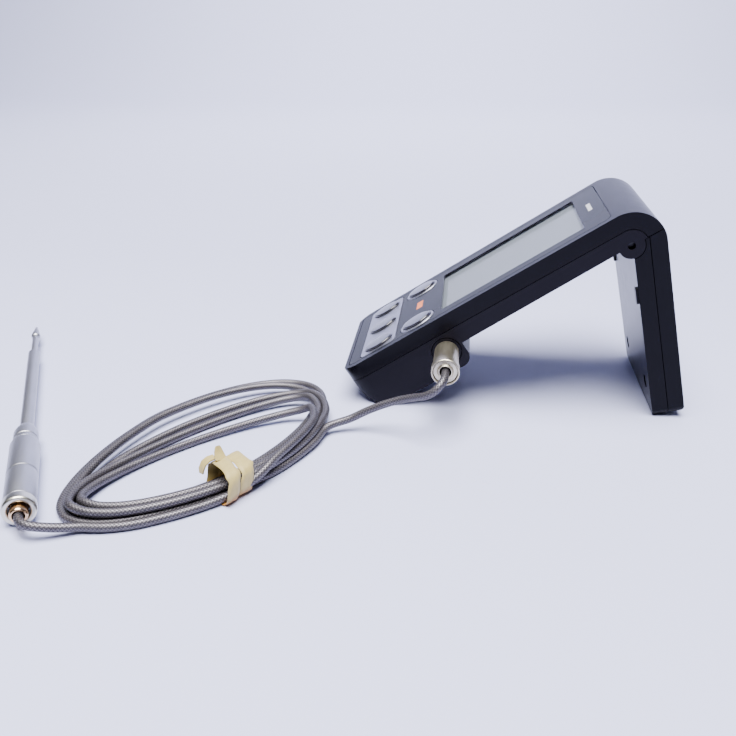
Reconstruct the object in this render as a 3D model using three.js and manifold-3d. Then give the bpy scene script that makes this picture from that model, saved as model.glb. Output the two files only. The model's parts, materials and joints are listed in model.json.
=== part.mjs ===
// Digital meat thermometer: a wedge-shaped display unit propped up by its fold-out stand,
// with a plug-in steel probe on a coiled, steel-braided cable.
// Millimetres, +Z up. The model's origin is at the bottom centre of the unit and probe together.
import * as THREE from 'three';
import { mergeVertices } from 'three/addons/utils/BufferGeometryUtils.js';
import Module from 'manifold-3d';

const wasm = await Module();
wasm.setup();

// ---------- driving dimensions ----------
const GAP = 0.3; // clearance between pieces that touch or turn
const FACE_ANGLE = 33.15; // slope of the display face above the table, degrees
const STAND_LEAN = 13.06; // lean of the open stand from vertical, degrees

// Display unit, in its own frame: X across, S up the slope from the front end, N out of the face.
const HALF_WIDTH = 25.1;
const WALL = 1.6;
const FACE_THICKNESS = 2.0;
const THIN_DEPTH = 10.7; // depth of the thin part behind the display, at the hinge
const THIN_TAPER = 0.9; // how much deeper the thin part is beside the thick one
const BULGE_DEPTH = 19.25; // depth of the thick part under the keys
const BULGE_END = 40.8; // where the thick part ends
const FRONT = -0.8; // front edge along the slope
const PIVOT_S = 102.25; // hinge axis along the slope
const END_RADIUS = 10.7; // round end of the unit and stand, about the hinge axis
const SEAM_DEPTH = 5.4; // seam between the front and rear housings
const CORNER_RADIUS = 6.5; // front corners seen from above

const LENS = { low: 1.9, high: 101.1, half: 22.4, corner: 2.4, recess: 1.4, thickness: 1.1 };
const LCD = { low: 37.2, high: 95, half: 21.6 };
const PANEL = { low: 6.6, high: 20.9, half: 21.3 };
const KEY = { semiX: 4.1, semiS: 5.4, pitch: 16.2, lowerS: 13.75, upperS: 29.6, top: 1.0 };

// Hinge
const LUG_RADIUS = 4.1;
const LUG_INNER = 18.9; // inner side of the unit's two hinge lugs
const KNUCKLE_RADIUS = 3.9;
const PIN_RADIUS = 1.05;
const PIN_HOLE_RADIUS = 1.25;

// Stand, in its own frame: X across, T down from the hinge axis, K outward from it.
const STAND_INNER = 0.3;
const STAND_LENGTH = 61.05;
const STAND_SPLIT = 5.5; // seam between the stand's two shells

// Battery bay: two AAA cells lying across the unit
const CELL = { radius: 5.25, length: 44, frontS: 10.4, rearS: 21.3, n: -12.15 };
const DOOR = { half: 22.9, top: -17.75, start: 7.9 };

// Probe socket and plug, along X
const SOCKET = { s: 34.65, n: -11.8 };
const PLUG = { start: 25.4, end: 41.7, baseRadius: 4.1, endRadius: 4.6, bore: 2.9, mouth: 4.1 };

// Cable and probe
const CABLE_RADIUS = 1.3;
const COIL = { x: 60, y: -95, angle: -34, length: 101, width: 58, low: 0.9, high: 8.4 };
const PROBE = { x: -22.6, y: -195.4, z: 4.75, angle: 25.16 };

// ---------- materials ----------
const finish = (color, roughness, metalness = 0) =>
  new THREE.MeshStandardMaterial({ color, roughness, metalness });
const BLACK_PLASTIC = finish(0x15131a, 0.35);
const BLACK_SATIN = finish(0x1a1820, 0.5);
const LENS_TINT = finish(0x2c2e36, 0.08);
const SILVER_PANEL = finish(0xb4b4bf, 0.35, 0.3);
const KEY_RUBBER = finish(0x1c1b24, 0.25);
const LCD_GREY = finish(0xb4bec4, 0.2);
const LCD_FRAME_WHITE = finish(0xd9d9d6, 0.5);
const RUBBER_GREY = finish(0x4a4c50, 0.8);
const BOARD_GREEN = finish(0x1d5a35, 0.5);
const BRASS = finish(0xb89a55, 0.35, 0.9);
const STEEL = finish(0xb9bbbf, 0.3, 0.95);
const DARK_STEEL = finish(0x3b3c40, 0.4, 0.9);
const NICKEL = finish(0xcfc8ae, 0.25, 0.95);
const CELL_SLEEVE = finish(0x7f868c, 0.4, 0.2);
const MAGNET = finish(0x8f9093, 0.3, 0.9);
const BRAID = finish(0x8d8b93, 0.4, 0.8);
const TIE_PAPER = finish(0xcfbe94, 0.8);
const GOLD = finish(0xc6a35c, 0.3, 0.9);

// ---------- solids ----------
const radians = THREE.MathUtils.degToRad;

function solid(geometry) {
  geometry.deleteAttribute('normal');
  geometry.deleteAttribute('uv');
  const positions = geometry.attributes.position.array;
  positions.forEach((value, i) => { positions[i] = Math.round(value * 1e4) / 1e4; });
  const merged = mergeVertices(geometry, 1e-4);
  const corners = [];
  for (let i = 0; i < merged.index.count; i += 3) {
    const [a, b, c] = [0, 1, 2].map((k) => merged.index.getX(i + k));
    if (a !== b && b !== c && c !== a) corners.push(a, b, c);
  }
  const triVerts = new Uint32Array(corners);
  const vertProperties = new Float32Array(merged.attributes.position.array);
  return new wasm.Manifold(new wasm.Mesh({ numProp: 3, vertProperties, triVerts }));
}

function toGeometry(manifold) {
  const mesh = manifold.getMesh();
  const geometry = new THREE.BufferGeometry();
  geometry.setAttribute('position', new THREE.BufferAttribute(mesh.vertProperties, 3));
  geometry.setIndex(new THREE.BufferAttribute(mesh.triVerts, 1));
  geometry.computeVertexNormals();
  return geometry;
}

const cut = (body, ...tools) => tools.reduce((left, tool) => left.subtract(tool), body);
const join = (body, ...others) => others.reduce((sum, other) => sum.add(other), body);

function box(x0, x1, y0, y1, z0, z1) {
  const geometry = new THREE.BoxGeometry(x1 - x0, y1 - y0, z1 - z0);
  return solid(geometry.translate((x0 + x1) / 2, (y0 + y1) / 2, (z0 + z1) / 2));
}

// The outline as points, without the ones that repeat or lie on a straight run.
function cleanPoints(path, curveSegments) {
  const points = path.getPoints(curveSegments);
  const distinct = points.filter((p, i) => p.distanceTo(points[(i + 1) % points.length]) > 0.01);
  return distinct.filter((p, i) => {
    const before = distinct[(i + distinct.length - 1) % distinct.length];
    const after = distinct[(i + 1) % distinct.length];
    const turn = p.clone().sub(before).cross(after.clone().sub(p));
    return Math.abs(turn) > 1e-4;
  });
}

function extrude(outline, depth, curveSegments) {
  const shape = new THREE.Shape(cleanPoints(outline, curveSegments));
  shape.holes = outline.holes.map((hole) => new THREE.Path(cleanPoints(hole, curveSegments)));
  return new THREE.ExtrudeGeometry(shape, { depth, bevelEnabled: false });
}

// A plan outline in X and Y, extruded along Z.
function plate(outline, low, high, curveSegments = 11) {
  return solid(extrude(outline, high - low, curveSegments).translate(0, 0, low));
}

// A side profile in Y and Z, extruded along X.
const SIDEWAYS = new THREE.Matrix4().makeBasis(
  new THREE.Vector3(0, 1, 0), new THREE.Vector3(0, 0, 1), new THREE.Vector3(1, 0, 0));
function slab(profile, left, right, curveSegments = 12) {
  const geometry = extrude(profile, right - left, curveSegments);
  return solid(geometry.applyMatrix4(SIDEWAYS).translate(left, 0, 0));
}

// A cylinder along X between two stations.
function rod(radius, left, right, y, z, sides = 16) {
  const geometry = new THREE.CylinderGeometry(radius, radius, right - left, sides);
  return solid(geometry.rotateZ(Math.PI / 2).translate((left + right) / 2, y, z));
}

// A cylinder along Z between two heights.
function post(radius, low, high, x, y, sides = 16) {
  const geometry = new THREE.CylinderGeometry(radius, radius, high - low, sides);
  return solid(geometry.rotateX(Math.PI / 2).translate(x, y, (low + high) / 2));
}

// A turned piece: pairs of radius and station along +Y, starting and ending on the axis or closed.
function turned(pairs, sides = 20) {
  return new THREE.LatheGeometry(pairs.map(([r, y]) => new THREE.Vector2(r, y)), sides);
}

function roundedRectangle(x0, x1, y0, y1, radius) {
  const shape = new THREE.Shape();
  shape.moveTo(x0 + radius, y0);
  shape.lineTo(x1 - radius, y0);
  shape.absarc(x1 - radius, y0 + radius, radius, -Math.PI / 2, 0);
  shape.lineTo(x1, y1 - radius);
  shape.absarc(x1 - radius, y1 - radius, radius, 0, Math.PI / 2);
  shape.lineTo(x0 + radius, y1);
  shape.absarc(x0 + radius, y1 - radius, radius, Math.PI / 2, Math.PI);
  shape.lineTo(x0, y0 + radius);
  shape.absarc(x0 + radius, y0 + radius, radius, Math.PI, 1.5 * Math.PI);
  return shape;
}

function ellipse(x, y, semiX, semiY) {
  const shape = new THREE.Shape();
  shape.absellipse(x, y, semiX, semiY, 0, 2 * Math.PI);
  return shape;
}

function polygon(pairs) {
  return new THREE.Shape(pairs.map(([a, b]) => new THREE.Vector2(a, b)));
}

function place(group, name, shape, material) {
  const mesh = new THREE.Mesh(shape.getMesh ? toGeometry(shape) : shape, material);
  mesh.name = name;
  group.add(mesh);
  return mesh;
}

// ---------- groups ----------
const assembly = new THREE.Group();
const unit = new THREE.Group(); // tilted so that its Y runs up the slope and its Z out of the face
unit.rotation.x = radians(FACE_ANGLE);
const sinFace = Math.sin(radians(FACE_ANGLE));
const cosFace = Math.cos(radians(FACE_ANGLE));
const CONTACT = { s: 7.6, n: -17.45, radius: 1.8 }; // the rounded corner that the unit rests on
const unitHeight = CONTACT.radius - CONTACT.s * sinFace - CONTACT.n * cosFace;
const UNIT_FRONT = -57.8; // where the slope's zero stands along Y
unit.position.set(0, UNIT_FRONT, unitHeight);
assembly.add(unit);

const stand = new THREE.Group(); // its Y runs down the stand and its Z outward
stand.rotation.x = radians(STAND_LEAN - 90);
stand.position.set(
  0,
  UNIT_FRONT + PIVOT_S * cosFace + THIN_DEPTH * sinFace,
  unitHeight + PIVOT_S * sinFace - THIN_DEPTH * cosFace,
);
assembly.add(stand);

// ---------- housings ----------
const planOutline = new THREE.Shape();
planOutline.moveTo(-HALF_WIDTH, 120);
const cornerS = FRONT + CORNER_RADIUS;
planOutline.lineTo(-HALF_WIDTH, cornerS);
planOutline.absarc(-HALF_WIDTH + CORNER_RADIUS, cornerS, CORNER_RADIUS, Math.PI, 1.5 * Math.PI);
planOutline.lineTo(HALF_WIDTH - CORNER_RADIUS, FRONT);
planOutline.absarc(HALF_WIDTH - CORNER_RADIUS, cornerS, CORNER_RADIUS, -Math.PI / 2, 0);
planOutline.lineTo(HALF_WIDTH, 120);
const plan = plate(planOutline, -25, 5);

const SEAM_GAP = 0.12; // half of the visible seam
const frontProfile = new THREE.Shape();
frontProfile.moveTo(FRONT, -SEAM_DEPTH + SEAM_GAP);
frontProfile.lineTo(PIVOT_S, -SEAM_DEPTH + SEAM_GAP);
const seamRadius = THIN_DEPTH - SEAM_DEPTH;
const frontSeamRadius = seamRadius + SEAM_GAP;
frontProfile.absarc(PIVOT_S, -THIN_DEPTH, frontSeamRadius, Math.PI / 2, 0.03, true);
frontProfile.lineTo(PIVOT_S + END_RADIUS, -THIN_DEPTH + GAP / 2);
frontProfile.absarc(PIVOT_S, -THIN_DEPTH, END_RADIUS, 0.014, Math.PI / 2);
frontProfile.lineTo(FRONT + 0.8, 0);
frontProfile.quadraticCurveTo(FRONT, -1.6, FRONT, -3.5);

const frontHollow = new THREE.Shape();
frontHollow.moveTo(WALL, -FACE_THICKNESS);
frontHollow.lineTo(WALL, -SEAM_DEPTH - 0.6);
frontHollow.lineTo(PIVOT_S + 2.2, -SEAM_DEPTH - 0.6);
frontHollow.lineTo(PIVOT_S + 2.2, -9);
frontHollow.lineTo(PIVOT_S + 8.9, -9);
frontHollow.absarc(PIVOT_S, -THIN_DEPTH, END_RADIUS - WALL, 0.19, 1.3);

const lensRecess = plate(
  roundedRectangle(-LENS.half - GAP, LENS.half + GAP, LENS.low - GAP, LENS.high + GAP, LENS.corner),
  -LENS.recess, 1);
const displayOpening = plate(
  roundedRectangle(-LCD.half - GAP, LCD.half + GAP, LCD.low - GAP, LCD.high + GAP, 0.8), -3, 1);

const KEYS = [
  ['key_lower_left', -KEY.pitch, KEY.lowerS],
  ['key_lower_center', 0, KEY.lowerS],
  ['key_lower_right', KEY.pitch, KEY.lowerS],
  ['key_upper_left', -KEY.pitch, KEY.upperS],
  ['key_upper_right', KEY.pitch, KEY.upperS],
];
const keyHoles = KEYS.map(([, x, s]) => plate(ellipse(x, s, KEY.semiX + GAP, KEY.semiS + GAP), -3, 2));

const frontShell = slab(frontProfile, -HALF_WIDTH, HALF_WIDTH).intersect(plan);
const frontCavity = slab(frontHollow, -HALF_WIDTH + WALL, HALF_WIDTH - WALL);
const frontHousing = cut(frontShell, frontCavity, lensRecess, displayOpening, ...keyHoles);
place(unit, 'front_housing', frontHousing, BLACK_PLASTIC);

const BULGE_RADIUS = 3.8; // rounding under the thick part's rear
const rearProfile = new THREE.Shape();
rearProfile.moveTo(FRONT, -SEAM_DEPTH - SEAM_GAP);
rearProfile.quadraticCurveTo(FRONT + 0.5, -11.2, 3.0, -14.8);
rearProfile.lineTo(6.2, -18.6);
rearProfile.absarc(CONTACT.s, CONTACT.n, CONTACT.radius, 1.22 * Math.PI, 1.5 * Math.PI);
rearProfile.lineTo(BULGE_END - BULGE_RADIUS, -BULGE_DEPTH);
rearProfile.absarc(BULGE_END - BULGE_RADIUS, -BULGE_DEPTH + BULGE_RADIUS, BULGE_RADIUS, -Math.PI / 2, 0);
rearProfile.lineTo(BULGE_END, -THIN_DEPTH - THIN_TAPER);
rearProfile.lineTo(PIVOT_S - LUG_RADIUS, -THIN_DEPTH);
rearProfile.lineTo(PIVOT_S + seamRadius - SEAM_GAP, -THIN_DEPTH);
rearProfile.absarc(PIVOT_S, -THIN_DEPTH, seamRadius - SEAM_GAP, 0, Math.PI / 2);

const rearBlank = slab(rearProfile, -HALF_WIDTH, HALF_WIDTH).intersect(plan);
const insideHalf = HALF_WIDTH - WALL;
const rearHollows = [
  box(-insideHalf, insideHalf, WALL + 0.2, 96, -5.95, -1), // over the whole unit, for the board
  box(-insideHalf, insideHalf, 28.3, 39.8, -16.2, -5), // for the socket and buzzer
  box(-insideHalf, insideHalf, 39, 96, -9.2, -5), // under the display
];
const batteryBay = slab(
  polygon([[3.7, -6.85], [3.9, -12], [7.4, -17.2], [7.6, -20], [27, -20], [27, -6.85]]),
  -CELL.length / 2 - 0.9, CELL.length / 2 + 0.9);
const doorSlot = box(-DOOR.half - GAP, DOOR.half + GAP, DOOR.start - GAP, 45, -25, DOOR.top + GAP);
const lugs = [[-HALF_WIDTH, -LUG_INNER], [LUG_INNER, HALF_WIDTH]].map(([left, right]) =>
  rod(LUG_RADIUS, left, right, PIVOT_S, -THIN_DEPTH, 24));
const knuckleChannel = rod(KNUCKLE_RADIUS + GAP, -LUG_INNER, LUG_INNER, PIVOT_S, -THIN_DEPTH, 24);
const pinBore = rod(PIN_HOLE_RADIUS, -HALF_WIDTH - 1, HALF_WIDTH + 1, PIVOT_S, -THIN_DEPTH);
const socketHole = rod(5.2, 20, HALF_WIDTH + 1, SOCKET.s, SOCKET.n, 24);
const NUB = { inner: 21.8, outer: 24.2, low: 14.3, high: 20.1, height: 0.65 };
const nubDimples = [-1, 1].map((side) => {
  const near = side * (NUB.inner - GAP);
  const far = side * (NUB.outer + GAP);
  return box(Math.min(near, far), Math.max(near, far), PIVOT_S - NUB.high - GAP, PIVOT_S - NUB.low + GAP,
    -THIN_DEPTH - 1, -THIN_DEPTH + NUB.height + GAP);
});
const SCREWS = [[-20.5, 44.5], [20.5, 44.5], [-20.5, 90.6], [20.5, 90.6]];
const screwHoles = SCREWS.flatMap(([x, s]) => [
  post(1.1, -THIN_DEPTH - 2, -5, x, s), post(2.2, -THIN_DEPTH - 2, -THIN_DEPTH + 0.9, x, s)]);
const screwColumns = SCREWS.map(([x, s]) => post(2.6, -9.4, -SEAM_DEPTH - SEAM_GAP, x, s));
const rearOpen = cut(rearBlank, ...rearHollows, batteryBay, doorSlot);
const rearJoined = join(rearOpen, ...lugs, ...screwColumns);
const rearHousing = cut(rearJoined, knuckleChannel, pinBore, socketHole, ...nubDimples, ...screwHoles);
place(unit, 'rear_housing', rearHousing, BLACK_SATIN);

const doorPlate = slab(rearProfile, -DOOR.half, DOOR.half)
  .intersect(box(-DOOR.half, DOOR.half, DOOR.start, 45, -25, DOOR.top));
const doorGrips = [0, 1, 2].map((i) => box(-6, 6, 12 + 1.6 * i, 12.8 + 1.6 * i, -25, -BULGE_DEPTH + 0.4));
place(unit, 'battery_door', cut(doorPlate, ...doorGrips), BLACK_SATIN);

// ---------- face ----------
const lensBlank = plate(
  roundedRectangle(-LENS.half, LENS.half, LENS.low, LENS.high, LENS.corner - GAP), -LENS.thickness, 0);
const panelWindow = plate(
  roundedRectangle(-PANEL.half - GAP, PANEL.half + GAP, PANEL.low - GAP, PANEL.high + GAP, 2.3), -3, 2);
const RING_WIDTH = 0.9;
const ringHoles = KEYS.slice(3).map(([, x, s]) =>
  plate(ellipse(x, s, KEY.semiX + 2 * GAP + RING_WIDTH, KEY.semiS + 2 * GAP + RING_WIDTH), -3, 2));
place(unit, 'display_lens', cut(lensBlank, panelWindow, ...ringHoles), LENS_TINT);

const panelBlank = plate(roundedRectangle(-PANEL.half, PANEL.half, PANEL.low, PANEL.high, 2), -1.1, 0.1);
place(unit, 'key_panel', cut(panelBlank, ...keyHoles.slice(0, 3)), SILVER_PANEL);

for (const [name, x, s] of KEYS.slice(3)) {
  const ring = plate(ellipse(x, s, KEY.semiX + GAP + RING_WIDTH, KEY.semiS + GAP + RING_WIDTH), -1.1, 0.2);
  const hole = plate(ellipse(x, s, KEY.semiX + GAP, KEY.semiS + GAP), -3, 2);
  place(unit, name.replace('key', 'key_ring'), cut(ring, hole), SILVER_PANEL);
}

for (const [name, x, s] of KEYS) {
  const cap = plate(ellipse(x, s, KEY.semiX, KEY.semiS), -2.4, KEY.top - 0.3);
  const crown = plate(ellipse(x, s, KEY.semiX - 0.35, KEY.semiS - 0.35), KEY.top - 0.4, KEY.top);
  const flange = plate(ellipse(x, s, KEY.semiX + 0.8, KEY.semiS + 0.8), -3.2, -FACE_THICKNESS - GAP);
  place(unit, name, join(cap, crown, flange), KEY_RUBBER);
}

// ---------- inside the unit ----------
const keyMat = plate(roundedRectangle(-22, 22, 6.5, 36.4, 2), -4.25, -3.85);
place(unit, 'key_mat', keyMat, RUBBER_GREY);

const lcdOutline = roundedRectangle(-LCD.half, LCD.half, LCD.low, LCD.high, 0.5);
place(unit, 'lcd_glass', plate(lcdOutline, -3.1, -LENS.thickness - GAP), LCD_GREY);

const lcdFrame = roundedRectangle(-22.2, 22.2, 36.8, 95.4, 1);
lcdFrame.holes.push(roundedRectangle(-18.5, 18.5, 38.6, 93, 0.5));
place(unit, 'lcd_frame', plate(lcdFrame, -4.3, -3.4), LCD_FRAME_WHITE);

place(unit, 'contact_strip', box(-18, 18, 39, 40.6, -4.3, -3.4), RUBBER_GREY);

const boardOutline = roundedRectangle(-22.8, 22.8, 3.2, 95.5, 1);
const boardNotches = SCREWS.map(([x, s]) => post(3, -7, -4, x, s));
place(unit, 'circuit_board', cut(plate(boardOutline, -5.7, -4.6), ...boardNotches), BOARD_GREEN);

place(unit, 'buzzer', post(5.2, -13.2, -6, -9, 34, 20), BLACK_SATIN);

const jackBlock = box(8, insideHalf - GAP, SOCKET.s - 4.2, SOCKET.s + 4.2, SOCKET.n - 4.1, SOCKET.n + 4.2);
const jackCollar = rod(4.9, 20, HALF_WIDTH - 0.1, SOCKET.s, SOCKET.n, 24);
const jackBore = rod(1.55, 9.5, HALF_WIDTH + 1, SOCKET.s, SOCKET.n);
place(unit, 'probe_jack', cut(join(jackBlock, jackCollar), jackBore), BLACK_SATIN);

// A cell and its button, along X; the two cells point opposite ways.
function cellSolid(direction, s) {
  const can = rod(CELL.radius, -CELL.length / 2 + 0.4, CELL.length / 2 - 0.8, s, CELL.n, 24);
  const button = rod(1.9, CELL.length / 2 - 1, CELL.length / 2 + 0.2, s, CELL.n);
  const cell = join(can, button);
  return direction > 0 ? cell : cell.rotate([0, 180, 0]).translate([0, 0, 2 * CELL.n]);
}
place(unit, 'battery_front', cellSolid(1, CELL.frontS), CELL_SLEEVE);
place(unit, 'battery_rear', cellSolid(-1, CELL.rearS), CELL_SLEEVE);
const contactX = CELL.length / 2 + 0.45;
const contact = (side, s0, s1) =>
  box(Math.min(side * contactX, side * (contactX + 0.3)), Math.max(side * contactX, side * (contactX + 0.3)),
    s0, s1, -15.5, -8.5);
place(unit, 'contact_bridge', contact(-1, 7.5, 24.5), BRASS);
place(unit, 'contact_positive', contact(1, 7.5, 13.4), BRASS);
place(unit, 'contact_negative', contact(1, 18.4, 24.5), BRASS);

SCREWS.forEach(([x, s], i) => {
  const head = post(1.9, -THIN_DEPTH + 0.1, -THIN_DEPTH + 0.8, x, s);
  const shank = post(0.85, -THIN_DEPTH + 0.6, -6.2, x, s, 12);
  place(unit, `housing_screw_${i + 1}`, join(head, shank), DARK_STEEL);
});

for (const [name, side] of [['left', -1], ['right', 1]]) {
  const ends = [side * 13.2, side * (HALF_WIDTH - 2.5)].sort((a, b) => a - b);
  const pin = rod(PIN_RADIUS, ends[0], ends[1], PIVOT_S, -THIN_DEPTH, 12);
  place(unit, `hinge_pin_${name}`, pin, STEEL);
}

// ---------- stand ----------
// The top of the stand faces the unit's end across a seam through the hinge axis.
const seamAngle = radians(90 + FACE_ANGLE - STAND_LEAN);
const seamDirection = { t: Math.cos(seamAngle), k: Math.sin(seamAngle) };
const seamPoint = (r) => [
  r * seamDirection.t + (GAP / 2) * seamDirection.k,
  r * seamDirection.k - (GAP / 2) * seamDirection.t,
];
const standPlanOutline = roundedRectangle(-HALF_WIDTH, HALF_WIDTH, -30, STAND_LENGTH, 3);
const standPlan = plate(standPlanOutline, -5, 15);

const seamAtDepth = (k) => seamPoint((k + (GAP / 2) * seamDirection.t) / seamDirection.k);
const innerProfile = new THREE.Shape();
innerProfile.moveTo(...seamAtDepth(STAND_INNER));
innerProfile.lineTo(...seamAtDepth(STAND_SPLIT - SEAM_GAP));
innerProfile.lineTo(STAND_LENGTH, STAND_SPLIT - SEAM_GAP);
innerProfile.lineTo(STAND_LENGTH, STAND_INNER + 1);
innerProfile.absarc(STAND_LENGTH - 1, STAND_INNER + 1, 1, 0, -Math.PI / 2, true);

const FOOT_RADIUS = 2.6; // rounding of the stand's outer foot edge
const outerProfile = new THREE.Shape();
outerProfile.moveTo(...seamAtDepth(STAND_SPLIT + SEAM_GAP));
outerProfile.lineTo(...seamPoint(END_RADIUS));
outerProfile.absarc(0, 0, END_RADIUS, seamAngle - 0.014, Math.PI / 2, true);
outerProfile.lineTo(STAND_LENGTH - FOOT_RADIUS, END_RADIUS);
outerProfile.absarc(STAND_LENGTH - FOOT_RADIUS, END_RADIUS - FOOT_RADIUS, FOOT_RADIUS, Math.PI / 2, 0, true);
outerProfile.lineTo(STAND_LENGTH, STAND_SPLIT + SEAM_GAP);

const STAND_SCREW = { x: 17, t: 51 };
const standSides = [-1, 1];
const innerShellBlank = slab(innerProfile, -HALF_WIDTH, HALF_WIDTH).intersect(standPlan);
const innerHollow = box(-insideHalf, insideHalf, 6.5, STAND_LENGTH - WALL, STAND_INNER + WALL, 8);
const innerPosts = standSides.map((side) =>
  post(3.3, STAND_INNER + 0.5, STAND_SPLIT - SEAM_GAP, side * STAND_SCREW.x, STAND_SCREW.t));
const knuckle = rod(KNUCKLE_RADIUS, -LUG_INNER + GAP, LUG_INNER - GAP, 0, 0, 24);
const lugClearance = standSides.map((side) => {
  const ends = [side * (LUG_INNER - GAP), side * (HALF_WIDTH + 1)].sort((a, b) => a - b);
  return rod(LUG_RADIUS + GAP, ends[0], ends[1], 0, 0, 24);
});
const screwBores = standSides.flatMap((side) => [
  post(1.2, -3, 8, side * STAND_SCREW.x, STAND_SCREW.t),
  post(2.3, -3, STAND_INNER + 1.6, side * STAND_SCREW.x, STAND_SCREW.t)]);
const standPinBore = rod(PIN_HOLE_RADIUS, -HALF_WIDTH, HALF_WIDTH, 0, 0);
const innerShell = join(cut(innerShellBlank, innerHollow, ...lugClearance), ...innerPosts, knuckle);
place(stand, 'stand_inner_shell', cut(innerShell, ...screwBores, standPinBore), BLACK_SATIN);

const outerHollow = box(-insideHalf, insideHalf, 2.5, STAND_LENGTH - WALL, 3, END_RADIUS - WALL);
const outerPosts = standSides.map((side) =>
  post(2.6, STAND_SPLIT + SEAM_GAP, END_RADIUS - 1, side * STAND_SCREW.x, STAND_SCREW.t));
const outerPilots = standSides.map((side) =>
  post(1.15, STAND_SPLIT - 1, END_RADIUS - WALL, side * STAND_SCREW.x, STAND_SCREW.t));
const outerBlank = slab(outerProfile, -HALF_WIDTH, HALF_WIDTH).intersect(standPlan);
place(stand, 'stand_outer_shell', cut(join(cut(outerBlank, outerHollow), ...outerPosts), ...outerPilots),
  BLACK_PLASTIC);

for (const [name, side] of [['left', -1], ['right', 1]]) {
  place(stand, `stand_magnet_${name}`, post(7, 6.2, END_RADIUS - WALL - GAP, side * 12, 27, 20), MAGNET);
  const head = post(2.0, STAND_INNER + 0.4, STAND_INNER + 1.3, side * STAND_SCREW.x, STAND_SCREW.t);
  const shank = post(0.85, STAND_INNER + 1.2, 8.6, side * STAND_SCREW.x, STAND_SCREW.t, 12);
  place(stand, `stand_screw_${name}`, join(head, shank), DARK_STEEL);
  const nubX = [side * NUB.inner, side * NUB.outer].sort((a, b) => a - b);
  const nubOutline = roundedRectangle(nubX[0], nubX[1], NUB.low, NUB.high, 1.15);
  const nub = plate(nubOutline, STAND_INNER - 0.05 - NUB.height, STAND_INNER - 0.05, 4);
  place(stand, `stand_nub_${name}`, nub, BLACK_SATIN);
}

// ---------- plug ----------
const plug = new THREE.Group(); // its Y runs out of the socket, along the assembly's +X
plug.rotation.z = -Math.PI / 2;
plug.position.set(
  0,
  UNIT_FRONT + SOCKET.s * cosFace - SOCKET.n * sinFace,
  unitHeight + SOCKET.s * sinFace + SOCKET.n * cosFace,
);
assembly.add(plug);
place(plug, 'plug_tip', turned([[0, 11], [0.7, 11.4], [1.2, 12.6], [0.8, 13.6], [1.2, 14.4], [1.2, 15.9],
  [0, 15.9]]), NICKEL);
place(plug, 'plug_insulator', turned([[0, 16.0], [1.2, 16.0], [1.2, 16.7], [0, 16.7]]), BLACK_SATIN);
place(plug, 'plug_sleeve', turned([[0, 16.8], [1.2, 16.8], [1.2, 25.2], [0, 25.2]]), NICKEL);
place(plug, 'plug_barrel', turned([
  [0, PLUG.start], [PLUG.baseRadius, PLUG.start], [PLUG.baseRadius + 0.1, 35.5],
  [PLUG.endRadius, 38.6], [PLUG.endRadius, PLUG.end - 0.25], [PLUG.endRadius - 0.25, PLUG.end],
  [PLUG.mouth, PLUG.end - 0.2], [PLUG.mouth, 39.6], [PLUG.bore, 39.6],
  [PLUG.bore, 27.2], [0, 27.2]], 28), NICKEL);
place(plug, 'plug_end_ring', turned([
  [1.8, 39.9], [3.8, 39.9], [3.8, 41.2], [3.5, 41.45], [2.1, 41.45], [1.8, 41.2], [1.8, 39.9]], 28), NICKEL);

// ---------- probe ----------
const probe = new THREE.Group(); // its Y runs from the tip to the cable end
probe.rotation.z = radians(PROBE.angle - 90);
probe.position.set(PROBE.x, PROBE.y, PROBE.z);
assembly.add(probe);
place(probe, 'probe_point', turned([[0, 0], [0.4, 0.5], [1.75, 10.5], [1.2, 11.6], [0, 11.6]]), STEEL);
place(probe, 'probe_shank', turned([[0, 11.8], [1.2, 11.8], [1.2, 28.3], [0, 28.3]]), STEEL);
place(probe, 'probe_tube', turned([
  [0, 28.5], [1.6, 28.5], [2.15, 29.4], [2.15, 92.6], [1.65, 92.6], [1.65, 31], [0, 31]]), STEEL);
place(probe, 'probe_sensor', turned([[0, 31.5], [1.1, 32.4], [1.1, 36.5], [0, 37.5]], 12), CELL_SLEEVE);
place(probe, 'probe_collar', turned([
  [0, 93], [2.6, 93], [3.8, 97.2], [3.9, 103.6], [0, 103.6]], 24), STEEL);
place(probe, 'probe_grip', turned([
  [0, 104], [4.1, 104], [4.5, 105.6], [4.5, 122.4], [4.35, 122.8], [4.35, 123.6], [4.5, 124],
  [4.5, 137.8], [2.8, 137.8], [2.8, 120], [0, 120]], 28), STEEL);
place(probe, 'probe_end_ring', turned([
  [3.1, 138.1], [4.7, 138.1], [4.7, 141.0], [4.3, 141.5], [3.4, 141.5], [3.1, 141.2],
  [3.1, 138.1]], 28), STEEL);
place(probe, 'probe_ferrule', turned([
  [1.65, 130], [2.5, 130], [2.5, 143.2], [2.2, 143.8], [1.65, 143.8], [1.65, 130]]), GOLD);

// ---------- cable ----------
function cableTube(points, steps) {
  const route = new THREE.CatmullRomCurve3(points.map((p) => new THREE.Vector3(...p)), false, 'centripetal');
  const section = new THREE.Shape();
  section.absarc(0, 0, CABLE_RADIUS, 0, 2 * Math.PI);
  return new THREE.ExtrudeGeometry(section, { extrudePath: route, steps, curveSegments: 4 });
}

// Out of the plug, over the table and down to the coil.
const PLUG_LEAD = [
  [30, -22.34, 21.32], [34, -22.34, 21.32], [38, -22.34, 21.32], [41.5, -22.34, 21.32], [44.3, -22.4, 21.25],
  [46.9, -22.8, 20.8], [48.8, -24.2, 19.5], [49.5, -26.3, 17.7], [48.6, -29.0, 16.1], [46.6, -32.4, 14.5],
  [44.9, -36.8, 12.6], [43.9, -42.0, 10.3], [43.6, -47.8, 7.6], [43.9, -52.8, 5.6], [44.4, -55.4, 4.8],
];
place(assembly, 'cable_plug_lead', cableTube(PLUG_LEAD, 24), BRAID);

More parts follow.
